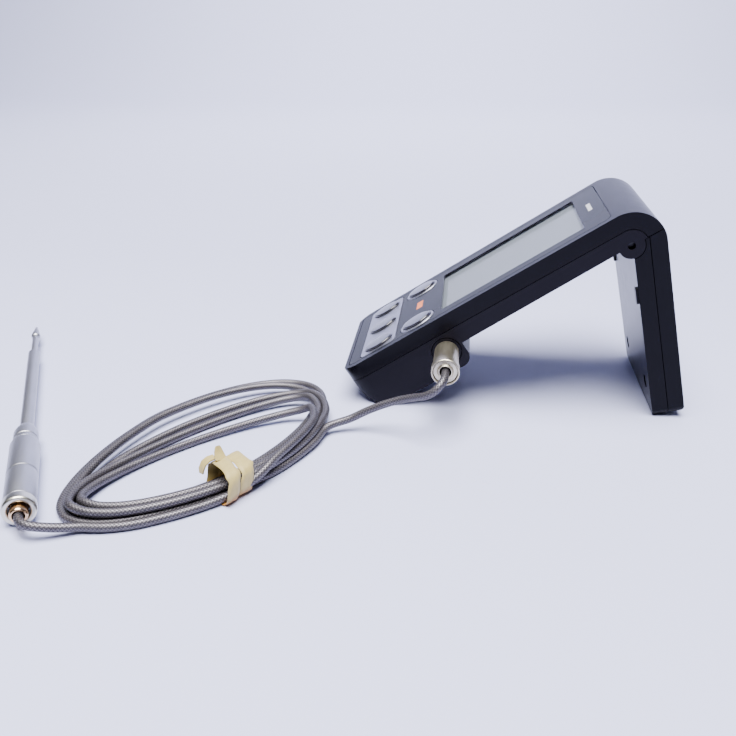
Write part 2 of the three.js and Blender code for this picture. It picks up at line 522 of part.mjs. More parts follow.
// From the coil to the back end of the probe.
const PROBE_LEAD = [
  [107.0, -111.5, 1.35], [106.2, -115.2, 1.5], [106.9, -118.6, 2.0], [109.0, -123.2, 3.0],
  [110.6, -127.6, 4.1], [110.9, -130.4, 4.6], [109.9, -132.7, 4.75], [108.0, -134.1, 4.75],
  [105.6, -135.2, 4.75], [102.0, -136.9, 4.75], [98.0, -138.74, 4.75],
];
place(assembly, 'cable_probe_lead', cableTube(PROBE_LEAD, 22), BRAID);

const coil = new THREE.Group(); // its X runs along the oval's long axis
coil.position.set(COIL.x, COIL.y, 0);
coil.rotation.z = radians(COIL.angle);
assembly.add(coil);
const coilOutline = ellipse(0, 0, COIL.length / 2, COIL.width / 2);
coilOutline.holes.push(ellipse(8, 6.5, 30, 12.5));
place(coil, 'cable_coil', plate(coilOutline, COIL.low, COIL.high, 14), BRAID);

// The tie is a closed band around the tight side of the coil.
const tieBand = roundedRectangle(17.1, 29.2, 0.1, COIL.high + 1.1, 0.9);
tieBand.holes.push(roundedRectangle(17.7, 28.6, 0.6, COIL.high + 0.6, 0.3));
place(coil, 'cable_tie', slab(tieBand, 12, 19, 4), TIE_PAPER);

// ---------- origin ----------
// The bottom centre of the unit and probe, without the cable, the plug and the tie.
const ON_THE_CABLE = /^(cable|plug)_/;
const extent = new THREE.Box3();
assembly.updateMatrixWorld(true);
assembly.traverse((item) => {
  if (item.isMesh && !ON_THE_CABLE.test(item.name)) extent.union(new THREE.Box3().setFromObject(item, true));
});
const centre = extent.getCenter(new THREE.Vector3());
assembly.position.set(-centre.x, -centre.y, -extent.min.z);
const model = new THREE.Group();
model.add(assembly);

export default model;
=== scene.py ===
"""Looks for the meat thermometer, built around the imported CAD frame.

Blender works in metres in the row frame. The unit, the stand, the plug, the probe and the coil are each
described in millimetres of their own, and a matrix for each takes them to the row frame.
"""

import json
import math

import bmesh
import bpy
import numpy as np
from mathutils import Matrix, Vector


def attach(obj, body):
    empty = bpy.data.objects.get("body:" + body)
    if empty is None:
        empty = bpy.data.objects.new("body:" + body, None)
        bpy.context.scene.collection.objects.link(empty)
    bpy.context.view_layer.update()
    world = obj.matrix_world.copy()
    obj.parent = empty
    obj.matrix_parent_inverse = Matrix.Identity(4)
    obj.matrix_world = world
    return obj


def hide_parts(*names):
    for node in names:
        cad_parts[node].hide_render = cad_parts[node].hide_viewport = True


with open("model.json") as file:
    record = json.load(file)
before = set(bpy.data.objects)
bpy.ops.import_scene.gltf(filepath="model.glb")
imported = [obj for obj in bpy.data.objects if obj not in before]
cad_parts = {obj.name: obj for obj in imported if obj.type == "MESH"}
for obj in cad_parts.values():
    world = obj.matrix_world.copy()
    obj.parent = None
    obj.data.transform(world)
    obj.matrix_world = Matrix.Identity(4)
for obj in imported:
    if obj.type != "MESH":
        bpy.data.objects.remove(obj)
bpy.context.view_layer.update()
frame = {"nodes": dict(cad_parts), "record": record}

MM = 0.001
SHIFT = (-41.696, 69.0966, 0.0)  # from the table's millimetres to the row frame's
FACE_ANGLE = math.radians(33.15)
STAND_LEAN = math.radians(13.06)
UNIT_ORIGIN = (0.0, -57.8, 12.254)
PIVOT = (0.0, 33.659, 59.209)
SOCKET = (0.0, -22.34, 21.325)
PROBE_TIP = (-22.6, -195.4, 4.75)
PROBE_ANGLE = math.radians(25.16)


def row_matrix(origin, rotation=Matrix.Identity(3)):
    """From a group's own millimetres to the row frame's metres; origin is in the table's millimetres."""
    place = (Vector(origin) + Vector(SHIFT)) * MM
    return Matrix.Translation(place) @ rotation.to_4x4() @ Matrix.Scale(MM, 4)


UNIT = row_matrix(UNIT_ORIGIN, Matrix.Rotation(FACE_ANGLE, 3, "X"))
STAND = row_matrix(PIVOT, Matrix.Rotation(STAND_LEAN - math.pi / 2, 3, "X"))
PLUG = row_matrix(SOCKET, Matrix.Rotation(-math.pi / 2, 3, "Z"))
PROBE = row_matrix(PROBE_TIP, Matrix.Rotation(PROBE_ANGLE - math.pi / 2, 3, "Z"))

# ---------- camera ----------
# Place in the table's millimetres, angles in radians, lens and sensor in millimetres.
CAMERA = {"place": (275.61, -18.62, 131.61), "yaw": 0.1211, "pitch": 0.4355, "roll": -0.0128, "lens": 39.574}
SENSOR_WIDTH = 36


def make_camera():
    yaw, pitch, roll = CAMERA["yaw"], CAMERA["pitch"], CAMERA["roll"]
    look = Vector((-math.cos(pitch) * math.cos(yaw), -math.cos(pitch) * math.sin(yaw), -math.sin(pitch)))
    level = look.cross(Vector((0, 0, 1))).normalized()
    upright = level.cross(look)
    right = level * math.cos(roll) + upright * math.sin(roll)
    up = upright * math.cos(roll) - level * math.sin(roll)
    data = bpy.data.cameras.new("camera")
    data.lens, data.sensor_width = CAMERA["lens"], SENSOR_WIDTH
    data.clip_start, data.clip_end = 0.01, 20
    camera = bpy.data.objects.new("camera", data)
    bpy.context.scene.collection.objects.link(camera)
    turn = Matrix((right, up, -look)).transposed()
    place = (Vector(CAMERA["place"]) + Vector(SHIFT)) * MM
    camera.matrix_world = Matrix.Translation(place) @ turn.to_4x4()
    bpy.context.scene.camera = camera


make_camera()


# ---------- materials ----------
class Shader:
    """A material with one Principled shader, and short calls that add nodes to it."""

    def __init__(self, name, **values):
        self.material = bpy.data.materials.new(name)
        self.material.use_nodes = True
        self.tree = self.material.node_tree
        self.bsdf = self.tree.nodes["Principled BSDF"]
        for key, value in values.items():
            self.set(key.replace("_", " "), value)

    def set(self, socket, value):
        if isinstance(value, bpy.types.NodeSocket):
            self.tree.links.new(value, self.bsdf.inputs[socket])
        elif isinstance(value, tuple):
            self.bsdf.inputs[socket].default_value = (*value, 1.0)
        else:
            self.bsdf.inputs[socket].default_value = value

    def node(self, kind, inputs=(), output=0, **settings):
        made = self.tree.nodes.new("ShaderNode" + kind)
        for key, value in settings.items():
            setattr(made, key, value)
        for key, value in dict(inputs).items():
            if isinstance(value, bpy.types.NodeSocket):
                self.tree.links.new(value, made.inputs[key])
            elif value is not None:
                made.inputs[key].default_value = value
        return made.outputs[output]

    def coords(self, kind="Object"):
        return self.node("TexCoord", output=kind)

    def uv(self, name):
        return self.node("UVMap", uv_map=name)

    def split(self, vector):
        made = self.tree.nodes.new("ShaderNodeSeparateXYZ")
        self.tree.links.new(vector, made.inputs[0])
        return made.outputs

    def math(self, operation, a, b=0.0, c=0.0):
        return self.node("Math", {0: a, 1: b, 2: c}, operation=operation)

    def noise(self, scale, detail, roughness=0.5, vector=None):
        inputs = {"Scale": scale, "Detail": detail, "Roughness": roughness}
        inputs["Vector"] = vector or self.coords()
        return self.node("TexNoise", inputs, output=0)

    def spread(self, value, low, high):
        """value from 0..1 stretched to low..high."""
        return self.node("MapRange", {"Value": value, "To Min": low, "To Max": high})

    def range(self, value, a, b, low=0.0, high=1.0):
        inputs = {"Value": value, "From Min": a, "From Max": b, "To Min": low, "To Max": high}
        return self.node("MapRange", inputs)

    def mix(self, factor, a, b):
        made = self.tree.nodes.new("ShaderNodeMix")
        made.data_type = "RGBA"
        for socket, value in ((made.inputs[0], factor), (made.inputs[6], a), (made.inputs[7], b)):
            if isinstance(value, bpy.types.NodeSocket):
                self.tree.links.new(value, socket)
            elif isinstance(value, tuple):
                socket.default_value = (*value, 1.0)
            else:
                socket.default_value = value
        return made.outputs[2]

    def bump(self, height, distance, strength):
        """Relief from a height of 0 to 1, where 1 stands distance metres out."""
        inputs = {"Height": height, "Distance": distance, "Strength": strength}
        self.set("Normal", self.node("Bump", inputs))


def plastic(name, colour, roughness, grain=0.000007, coat=0.0, spread=0.05, specular=0.5):
    """Moulded plastic: a fine spark-eroded grain, faint colour drift and rubbed patches."""
    s = Shader(name, Coat_Weight=coat, Coat_Roughness=0.08, Specular_IOR_Level=specular)
    drift = s.noise(60, 3)
    darker = tuple(c * 0.75 for c in colour)
    s.set("Base Color", s.mix(drift, darker, colour))
    rubbed = s.noise(240, 5, 0.6)
    s.set("Roughness", s.spread(rubbed, roughness - spread, roughness + spread))
    s.bump(s.noise(2600, 2), grain, 0.35)
    return s.material


def metal(name, colour, roughness, brushed=None, grain=0.00001, tint=0.8):
    """Metal with a turned or drawn finish; brushed is the stretch of its fine lines along X, Y and Z."""
    s = Shader(name, Metallic=1.0)
    vector = s.coords()
    if brushed:
        vector = s.node("Mapping", {"Vector": vector, "Scale": brushed})
    lines = s.noise(900, 4, 0.65, vector)
    stains = s.noise(120, 3, 0.5)
    darker = tuple(c * tint for c in colour)
    s.set("Base Color", s.mix(stains, darker, colour))
    s.set("Roughness", s.spread(lines, roughness - 0.08, roughness + 0.08))
    s.bump(lines, grain, 0.5)
    return s.material


CASE_GLOSS = plastic("case_gloss", (0.0030, 0.0026, 0.0052), 0.24, specular=0.09)
CASE_SATIN = plastic("case_satin", (0.0070, 0.0060, 0.0105), 0.36, spread=0.06, specular=0.09)
KEY_BLACK = plastic("key_black", (0.016, 0.015, 0.024), 0.2, grain=0.000004, coat=0.9)
SILVER = metal("panel_silver", (0.50, 0.50, 0.58), 0.42, grain=0.000006, tint=0.94)
WHITE = plastic("white_plastic", (0.75, 0.75, 0.74), 0.5)
SOFT_GREY = plastic("soft_grey", (0.07, 0.075, 0.08), 0.8)
BOARD = plastic("board", (0.008, 0.10, 0.035), 0.35)
BRASS = metal("brass_contact", (0.80, 0.60, 0.30), 0.3)
DARK_STEEL = metal("dark_steel", (0.09, 0.09, 0.10), 0.35)
PIN_STEEL = metal("pin_steel", (0.05, 0.05, 0.055), 0.4)
NICKEL = metal("nickel", (0.70, 0.64, 0.50), 0.37, brushed=(0.2, 3, 3), tint=0.9)
MAGNET = metal("magnet", (0.45, 0.45, 0.46), 0.3)
PROBE_STEEL = metal("probe_steel", (0.47, 0.47, 0.50), 0.42, grain=0.000006)
RING_STEEL = metal("ring_steel", (0.70, 0.68, 0.58), 0.3)
GOLD = metal("ferrule_plate", (0.86, 0.58, 0.34), 0.18)
SENSOR = plastic("sensor", (0.72, 0.68, 0.6), 0.5)

COPPER_START = 8  # where the copper band of a cell begins, along the unit's X


def cell_material():
    """A foil sleeve: dark, with a copper band along the +X end of the cell."""
    s = Shader("cell_sleeve", Metallic=0.5, Coat_Weight=0.4, Coat_Roughness=0.1)
    x = s.split(s.coords())[0]
    copper_start = (SHIFT[0] + COPPER_START) * MM
    copper = s.range(x, copper_start, copper_start + 0.2 * MM)
    s.set("Base Color", s.mix(copper, (0.035, 0.036, 0.042), (0.55, 0.27, 0.11)))
    s.set("Roughness", s.spread(s.noise(400, 3), 0.22, 0.36))
    s.bump(s.noise(900, 3), 0.00001, 0.4)
    return s.material


CELL = cell_material()


def lcd_material():
    """The blank grey-green glass of the display."""
    s = Shader("lcd", Roughness=0.12, Specular_IOR_Level=0.3)
    drift = s.noise(25, 2)
    s.set("Base Color", s.mix(drift, (0.20, 0.225, 0.262), (0.245, 0.272, 0.312)))
    s.bump(s.noise(5000, 1), 0.000004, 0.3)
    return s.material


LCD = lcd_material()

# Half width, start and end on the unit's face, mm.
WINDOW = (17.9, 39.6, 92.5)
ORANGE_BAR = (3.2, 28.6, 30.8)
PALE_BAR = (4.0, 96.2, 97.3)


def lens_material():
    """A clear sheet printed on its face: smoke grey outside the window, with two plain coloured bars."""
    s = Shader("lens", Coat_Weight=0.0, Specular_IOR_Level=0.03)
    x, along, height = unit_coordinates(s)
    from_middle = s.math("ABSOLUTE", x)
    window = box_mask(s, from_middle, along, WINDOW, 0.25)
    below_print = s.range(height, -0.5, -0.3, 1, 0)
    clear = s.math("MAXIMUM", window, below_print)
    orange_bar = box_mask(s, from_middle, along, ORANGE_BAR, 0.3)
    pale_bar = box_mask(s, from_middle, along, PALE_BAR, 0.3)
    drift = s.noise(80, 2)
    smoke = s.mix(drift, (0.020, 0.021, 0.030), (0.028, 0.029, 0.040))
    with_orange = s.mix(orange_bar, smoke, (0.62, 0.16, 0.05))
    s.set("Base Color", s.mix(pale_bar, with_orange, (0.45, 0.45, 0.48)))
    s.set("Alpha", s.spread(clear, 1.0, 0.10))
    s.set("Roughness", s.spread(s.noise(300, 4), 0.10, 0.2))
    return s.material


def box_mask(s, across, along, limits, edge):
    """1 inside a box on the face; limits are its half width, its start and its end."""
    half, low, high = limits
    inside = s.range(across, half, half + edge, 1, 0)
    after = s.range(along, low - edge, low, 0, 1)
    before = s.range(along, high, high + edge, 1, 0)
    return s.math("MULTIPLY", s.math("MULTIPLY", inside, after), before)


def unit_coordinates(s):
    """The unit's own x, s and n in millimetres, from the object coordinates."""
    inverse = UNIT.inverted()
    point = s.coords()
    outputs = []
    for k in range(3):
        axis = tuple(inverse[k][:3])
        dot = s.node("VectorMath", {0: point, 1: axis}, output="Value", operation="DOT_PRODUCT")
        outputs.append(s.math("ADD", dot, inverse[k][3]))
    return outputs


LENS = lens_material()

BRAID_WIRES = 7.0  # wires of each set round the cable
BRAID_PITCH = 1.1 * MM


def braid_material():
    """Fine woven steel: two sets of slanting wires over and under each other, with painted shade in the
    hollows between them.
    """
    s = Shader("braid", Metallic=0.85)
    along = s.split(s.uv("weave"))
    turn = s.math("MULTIPLY", along[0], BRAID_WIRES)
    run = s.math("DIVIDE", along[1], BRAID_PITCH)
    a, b = s.math("ADD", run, turn), s.math("SUBTRACT", run, turn)
    wave_a = s.math("ABSOLUTE", s.math("SINE", s.math("MULTIPLY", a, math.pi)))
    wave_b = s.math("ABSOLUTE", s.math("SINE", s.math("MULTIPLY", b, math.pi)))
    parity = s.math("MODULO", s.math("ADD", s.math("FLOOR", a), s.math("FLOOR", b)), 2.0)
    over = s.math("ABSOLUTE", parity)
    lift_a = s.math("MULTIPLY", wave_a, s.spread(over, 1.0, 0.5))
    lift_b = s.math("MULTIPLY", wave_b, s.spread(over, 0.5, 1.0))
    height = s.math("MAXIMUM", lift_a, lift_b)
    grime = s.noise(420, 3)
    light = s.mix(grime, (0.115, 0.106, 0.118), (0.225, 0.212, 0.225))
    # Painted shade: the colour turns dark where the weave sinks between the wires and stays lighter on the
    # wire tops.
    s.set("Base Color", s.mix(s.range(height, 0.40, 0.97), (0.055, 0.048, 0.058), light))
    s.set("Roughness", s.range(height, 0.45, 1.0, 0.6, 0.38))
    s.bump(height, 0.00012, 0.75)
    return s.material


BRAID = braid_material()


def paper_material():
    """Creased cream paper, turning browner and darker towards the bottom."""
    s = Shader("tie_paper", Roughness=0.55, Sheen_Weight=0.2)
    fibres = s.noise(700, 5, 0.7)
    cream = s.mix(fibres, (0.33, 0.25, 0.075), (0.52, 0.41, 0.15))
    # Browner and darker towards the bottom: the colour turns brown below about 1.2 to 3.6 mm above the
    # table.
    low = s.math("ADD", s.split(s.coords())[2], s.spread(s.noise(500, 3), -0.0009, 0.0009))
    s.set("Base Color", s.mix(s.range(low, 0.0012, 0.0036, 1, 0), cream, (0.36, 0.15, 0.015)))
    s.bump(s.noise(380, 4, 0.6), 0.00025, 0.5)
    return s.material


PAPER = paper_material()

NODES_OF_MATERIAL = (
    (CASE_GLOSS, "front_housing stand_inner_shell stand_outer_shell"),
    (CASE_SATIN, "rear_housing battery_door buzzer probe_jack"),
    (CASE_SATIN, "stand_nub_left stand_nub_right plug_insulator"),
    (LENS, "display_lens"),
    (SILVER, "key_panel key_ring_upper_left key_ring_upper_right"),
    (KEY_BLACK, "key_lower_left key_lower_center key_lower_right key_upper_left key_upper_right"),
    (SOFT_GREY, "key_mat contact_strip"),
    (LCD, "lcd_glass"),
    (WHITE, "lcd_frame"),
    (BOARD, "circuit_board"),
    (CELL, "battery_front battery_rear"),
    (BRASS, "contact_bridge contact_positive contact_negative"),
    (PIN_STEEL, "hinge_pin_left hinge_pin_right"),
    (MAGNET, "stand_magnet_left stand_magnet_right"),
    (NICKEL, "plug_tip plug_sleeve plug_barrel plug_end_ring"),
    (GOLD, "probe_ferrule"),
    (RING_STEEL, "probe_end_ring"),
    (PROBE_STEEL, "probe_grip probe_collar probe_tube probe_shank probe_point"),
    (SENSOR, "probe_sensor"),
)
NODE_MATERIALS = {node: material for material, nodes in NODES_OF_MATERIAL for node in nodes.split()}


def material_for(node):
    if "screw" in node:
        return DARK_STEEL
    return NODE_MATERIALS.get(node, CASE_SATIN)


for name, cad_object in frame["nodes"].items():
    cad_object.data.materials.clear()
    cad_object.data.materials.append(material_for(name))

BODIES = frame["record"]["behaviour"]["bodies"]
BODY_OF = {node: body for body, nodes in BODIES.items() for node in nodes}


# ---------- mesh helpers ----------
def add_piece(name, mesh, body, material, replaced=()):
    piece = bpy.data.objects.new(name, mesh)
    bpy.context.scene.collection.objects.link(piece)
    mesh.materials.clear()
    mesh.materials.append(material)
    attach(piece, body)
    if replaced:
        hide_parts(*replaced)
    return piece


def mesh_from(name, points, faces, matrix=Matrix.Identity(4)):
    mesh = bpy.data.meshes.new(name)
    mesh.from_pydata([matrix @ Vector(p) for p in points], [], faces)
    mesh.validate()
    mesh.update()
    mesh.polygons.foreach_set("use_smooth", [True] * len(mesh.polygons))
    return mesh


SEAM_WIDTH = 0.12
ROUNDED_FROM = math.radians(28)
FLAT_WITHIN = math.radians(1.0)
WELD_DISTANCE = 2e-6


def rounded_copy(node, width, matrix=UNIT, is_seam=None):
    """The CAD node's own shape with its edges rounded over by width mm, in its place.

    is_seam says which edges take SEAM_WIDTH instead, from the edge's middle in matrix's millimetres."""
    mesh = frame["nodes"][node].data.copy()
    inverse = matrix.inverted()
    bm = bmesh.new()
    bm.from_mesh(mesh)
    bmesh.ops.remove_doubles(bm, verts=bm.verts, dist=WELD_DISTANCE)
    bmesh.ops.dissolve_limit(bm, angle_limit=FLAT_WITHIN, verts=bm.verts, edges=bm.edges)
    weight = bm.edges.layers.float.new("bevel_weight_edge")
    for edge in bm.edges:
        if len(edge.link_faces) == 2 and edge.calc_face_angle(0.0) > ROUNDED_FROM:
            middle = inverse @ ((edge.verts[0].co + edge.verts[1].co) / 2)
            edge[weight] = SEAM_WIDTH / width if is_seam and is_seam(middle) else 1.0
    bm.to_mesh(mesh)
    bm.free()
    mesh.polygons.foreach_set("use_smooth", [True] * len(mesh.polygons))
    piece = add_piece(node + "_body", mesh, BODY_OF[node], material_for(node), [node])
    bevel = piece.modifiers.new("round", "BEVEL")
    bevel.width = width * MM
    bevel.segments = 3
    bevel.limit_method = "WEIGHT"
    normals = piece.modifiers.new("normals", "WEIGHTED_NORMAL")
    normals.weight = 100


TURNED_SIDES = 56
CORNER_TURN = 0.3  # a profile's corner that turns less than this, in radians, stays as it is


def rounded_profile(pairs, radius):
    """A profile with each of its sharp corners cut back to a small arc."""
    points = []
    for before, corner, after in zip(pairs[-1:] + pairs[:-1], pairs, pairs[1:] + pairs[:1]):
        corner, before, after = Vector(corner), Vector(before), Vector(after)
        back, ahead = before - corner, after - corner
        turn = math.pi - back.angle(ahead, 0.0) if back.length and ahead.length else 0.0
        if corner.x < 1e-6 or turn < CORNER_TURN:
            points.append(corner)
            continue
        reach = min(radius, 0.4 * back.length, 0.4 * ahead.length)
        start, end = corner + back.normalized() * reach, corner + ahead.normalized() * reach
        for t in (0.0, 0.33, 0.67, 1.0):
            points.append(start * (1 - t) ** 2 + corner * 2 * t * (1 - t) + end * t * t)
    return points


def turned_piece(node, pairs, matrix, radius=0.15):
    """A turned piece for a CAD node: pairs of radius and station, from axis to axis or closed on itself."""
    sides = TURNED_SIDES
    closed = pairs[0][0] > 0
    profile = rounded_profile(pairs, radius)
    points, faces, rows = [], [], []
    for r, y in profile:
        count = 1 if r < 1e-6 else sides
        rows.append((len(points), count))
        for k in range(count):
            a = 2 * math.pi * k / sides
            points.append((r * math.cos(a), y, r * math.sin(a)))
    links = list(zip(rows, rows[1:])) + ([(rows[-1], rows[0])] if closed else [])
    for (a, count_a), (b, count_b) in links:
        for k in range(sides):
            j = (k + 1) % sides
            if count_a == 1 and count_b == 1:
                break
            if count_a == 1:
                faces.append((a, b + j, b + k))
            elif count_b == 1:
                faces.append((a + k, a + j, b))
            else:
                faces.append((a + k, a + j, b + j, b + k))
    mesh = mesh_from(node + "_turned", points, faces, matrix)
    fix_normals(mesh)
    mesh.set_sharp_from_angle(angle=math.radians(35))
    add_piece(node + "_turned", mesh, BODY_OF[node], material_for(node), [node])


def fix_normals(mesh):
    """Faces that all turn the same way, outwards on a closed mesh."""
    bm = bmesh.new()
    bm.from_mesh(mesh)
    bmesh.ops.recalc_face_normals(bm, faces=bm.faces)
    bm.to_mesh(mesh)
    bm.free()


OVAL_SIDES = 48


def stacked_rings(name, rings, matrix):
    """A closed form from ovals given as centre x, centre y, half widths and height, with flat ends."""
    sides = OVAL_SIDES
    points, faces = [], []
    for x, y, semi_x, semi_y, height in rings:
        for k in range(sides):
            a = 2 * math.pi * k / sides
            points.append((x + semi_x * math.cos(a), y + semi_y * math.sin(a), height))
    for row in range(len(rings) - 1):
        for k in range(sides):
            j = (k + 1) % sides
            low, high = row * sides, (row + 1) * sides
            faces.append((low + k, low + j, high + j, high + k))
    faces.append(tuple(range(sides))[::-1])
    faces.append(tuple(range((len(rings) - 1) * sides, len(rings) * sides)))
    mesh = mesh_from(name, points, faces, matrix)
    mesh.set_sharp_from_angle(angle=math.radians(40))
    return mesh


# ---------- cable ----------
CABLE_RADIUS = 1.3
COIL_CENTRE = (60.0, -95.0)
COIL_TURN = math.radians(-34)
PLUG_LEAD = [
    (30, -22.34, 21.32), (34, -22.34, 21.32), (38, -22.34, 21.32), (41.5, -22.34, 21.32),
    (44.3, -22.4, 21.25), (46.9, -22.8, 20.8), (48.8, -24.2, 19.5), (49.5, -26.3, 17.7),
    (48.6, -29.0, 16.1), (46.6, -32.4, 14.5), (44.9, -36.8, 12.6), (43.9, -42.0, 10.3),
    (43.7, -47.8, 7.6), (44.2, -53.2, 5.0),
]
PROBE_LEAD = [
    (106.9, -118.6, 2.0), (109.0, -123.2, 3.0), (110.6, -127.6, 4.1), (110.9, -130.4, 4.6),
    (109.9, -132.7, 4.75), (108.0, -134.1, 4.75), (105.6, -135.2, 4.75), (102.0, -136.9, 4.75),
    (98.0, -138.74, 4.75),
]
# Each turn of the coil is a near pass and a far pass, in the coil's own u along it and v across it.
# A near pass has a place across the bundle, a height and a left-hand end.
NEAR_PASSES = [(0, 1.35, 51.0), (1, 1.35, 48.2), (2, 1.35, 45.5), (0.5, 3.7, 49.8), (1.5, 3.7, 46.0)]
# A far pass has a half width, a height, a right-hand end, that end's offset and its height.
FAR_PASSES = [
    (26.7, 1.35, -50, -5, 1.5), (23.2, 3.9, -45.0, -3, 2.6), (18.0, 1.35, -43, 2, 3.4),
    (15.0, 1.35, -40, 4, 4.2), (13.5, 1.35, -32, 12.5, 6.0),
]
# The last near pass lies over the others and runs out to the probe.
LAST_PASS = [
    (-26.5, 19.3, 6.4), (-19, 22.8, 6.5), (-11, 24.9, 6.3), (-2, 26.2, 5.4), (6, 27.2, 3.6),
    (13, 26.6, 2.0), (20, 24.8, 1.35), (27.6, 22.4, 1.35), (34, 19.6, 1.35), (40.8, 16.0, 1.35),
    (46.5, 11.6, 1.5),
]
NEAR_WIDTH = 26.3
BUNDLE_PITCH = 2.7
NEAR_PINCH = 0.13  # share by which a pass narrows towards its left-hand end
FAR_PINCH = 0.2
PINCHED_OVER = 20  # a far pass with a larger half width than this is pinched
HALF_TURN_STEPS = 14
HEIGHT_EASE = 0.8  # under 1, a pass reaches its own height sooner
FIRST_ARC = math.radians(126)  # how far the first near pass still has to go where the plug lead joins it
FIRST_ARC_STEPS = 12
FIRST_ARC_REACH = 50
RESTING_HEIGHT = 1.35
JOIN_LIFT, JOIN_STEPS = 2.2, 4  # the plug lead comes down from this far up in this many steps
CURVE_SAMPLES = 12


def coil_point(u, v, z):
    c, s = math.cos(COIL_TURN), math.sin(COIL_TURN)
    return (COIL_CENTRE[0] + c * u - s * v, COIL_CENTRE[1] + s * u + c * v, z)


def half_turn(start, end, offset, width, heights, near):
    """From one end of the oval to the other; offset is the sideways place of the right-hand end."""
    points = []
    for k in range(1, HALF_TURN_STEPS + 1):
        f = k / HALF_TURN_STEPS
        angle = math.pi * (1 - f) if near else -math.pi * f
        u = (start + end) / 2 + abs(end - start) / 2 * math.cos(angle)
        pinch = NEAR_PINCH if near else FAR_PINCH if width > PINCHED_OVER else 0.0
        taper = 1 - pinch * max(0.0, math.cos(angle))
        v = offset * (1 - math.cos(angle)) / 2 + width * taper * math.sin(angle)
        middle = math.sin(math.pi * f) ** HEIGHT_EASE
        z = (heights[0] * (1 - f) + heights[2] * f) * (1 - middle) + heights[1] * middle
        points.append(coil_point(u, v, z))
    return points


def designed_route():
    """The whole cable from the plug to the probe, before its turns are laid against each other."""
    points = list(PLUG_LEAD)
    for k in range(FIRST_ARC_STEPS + 1):
        angle = FIRST_ARC * (1 - k / FIRST_ARC_STEPS)
        reach = NEAR_PASSES[0][2] if angle < math.pi / 2 else FIRST_ARC_REACH
        taper = 1 - NEAR_PINCH * max(0.0, math.cos(angle))
        z = RESTING_HEIGHT + JOIN_LIFT * max(0.0, 1 - k / JOIN_STEPS) ** 1.5
        points.append(coil_point(reach * math.cos(angle), NEAR_WIDTH * taper * math.sin(angle), z))
    for i, (width, height, right, offset, right_z) in enumerate(FAR_PASSES):
        _, near_z, left = NEAR_PASSES[i]
        points += half_turn(left, right, offset, width, (near_z, height, right_z), near=False)
        if i + 1 < len(NEAR_PASSES):
            place, near_z, left = NEAR_PASSES[i + 1]
            width = NEAR_WIDTH - BUNDLE_PITCH * place
            points += half_turn(right, left, offset, width, (right_z, near_z, near_z), near=True)
    points += [coil_point(*p) for p in LAST_PASS]
    return np.array(points + PROBE_LEAD)


def even_steps(points, step):
    """Points a step apart along a smooth curve through the given ones."""
    p = np.vstack([2 * points[0] - points[1], points, 2 * points[-1] - points[-2]])
    dense = []
    t = np.linspace(0, 1, CURVE_SAMPLES, endpoint=False)[:, None]
    for p0, p1, p2, p3 in zip(p[:-3], p[1:-2], p[2:-1], p[3:]):
        d0, d1, d2 = (max(np.linalg.norm(b - a), 1e-6) ** 0.5 for a, b in ((p0, p1), (p1, p2), (p2, p3)))
        m1 = (p2 - p1) + d1 * ((p1 - p0) / d0 - (p2 - p0) / (d0 + d1))
        m2 = (p2 - p1) + d1 * ((p3 - p2) / d2 - (p3 - p1) / (d1 + d2))
        dense.append((2 * t**3 - 3 * t**2 + 1) * p1 + (t**3 - 2 * t**2 + t) * m1
                     + (3 * t**2 - 2 * t**3) * p2 + (t**3 - t**2) * m2)
    dense = np.vstack(dense + [p[-2:-1]])
    along = np.concatenate([[0], np.cumsum(np.linalg.norm(np.diff(dense, axis=0), axis=1))])
    stations = np.linspace(0, along[-1], int(round(along[-1] / step)) + 1)
    return np.stack([np.interp(stations, along, dense[:, k]) for k in range(3)], 1)


SETTLE_ROUNDS = 240
LEVELLING = 0.45  # share of the unevenness in the shifts that a round takes out
HOLDING = 0.004  # share of the way back to its own line
OWN_RUN = 9  # points on about this length of cable, in whole steps, don't push each other
STRAND_GAP = 0.08
TABLE_GAP = 0.02


def settle(target, step, held_start, held_end):
    """The turns push each other apart to a diameter and rest on the table, each near its own line."""
    p = target.copy()
    free = np.ones(len(p), bool)
    free[:held_start] = False
    free[-held_end:] = False
    first, second = np.triu_indices(len(p), int(OWN_RUN / step))
    reach = 2 * CABLE_RADIUS + STRAND_GAP
    for _ in range(SETTLE_ROUNDS):
        moved = p - target
        level = moved.copy()
        level[1:-1] = 0.5 * (moved[:-2] + moved[2:])
        p[free] += (LEVELLING * (level - moved) - HOLDING * moved)[free]
        gap = p[second] - p[first]
        square = (gap * gap).sum(1)
        near = square < reach * reach
        i, j, gap, distance = first[near], second[near], gap[near], np.sqrt(square[near])
        push = (0.5 * (reach - distance) / np.maximum(distance, 1e-6))[:, None] * gap
        shift, count = np.zeros_like(p), np.zeros(len(p))
        np.add.at(shift, i, -push)
        np.add.at(shift, j, push)
        np.add.at(count, i, 1)
        np.add.at(count, j, 1)
        p[free] += (shift / np.sqrt(np.maximum(count, 1))[:, None])[free]
        p[free, 2] = np.maximum(p[free, 2], CABLE_RADIUS + TABLE_GAP)
    return p


TUBE_SIDES = 16


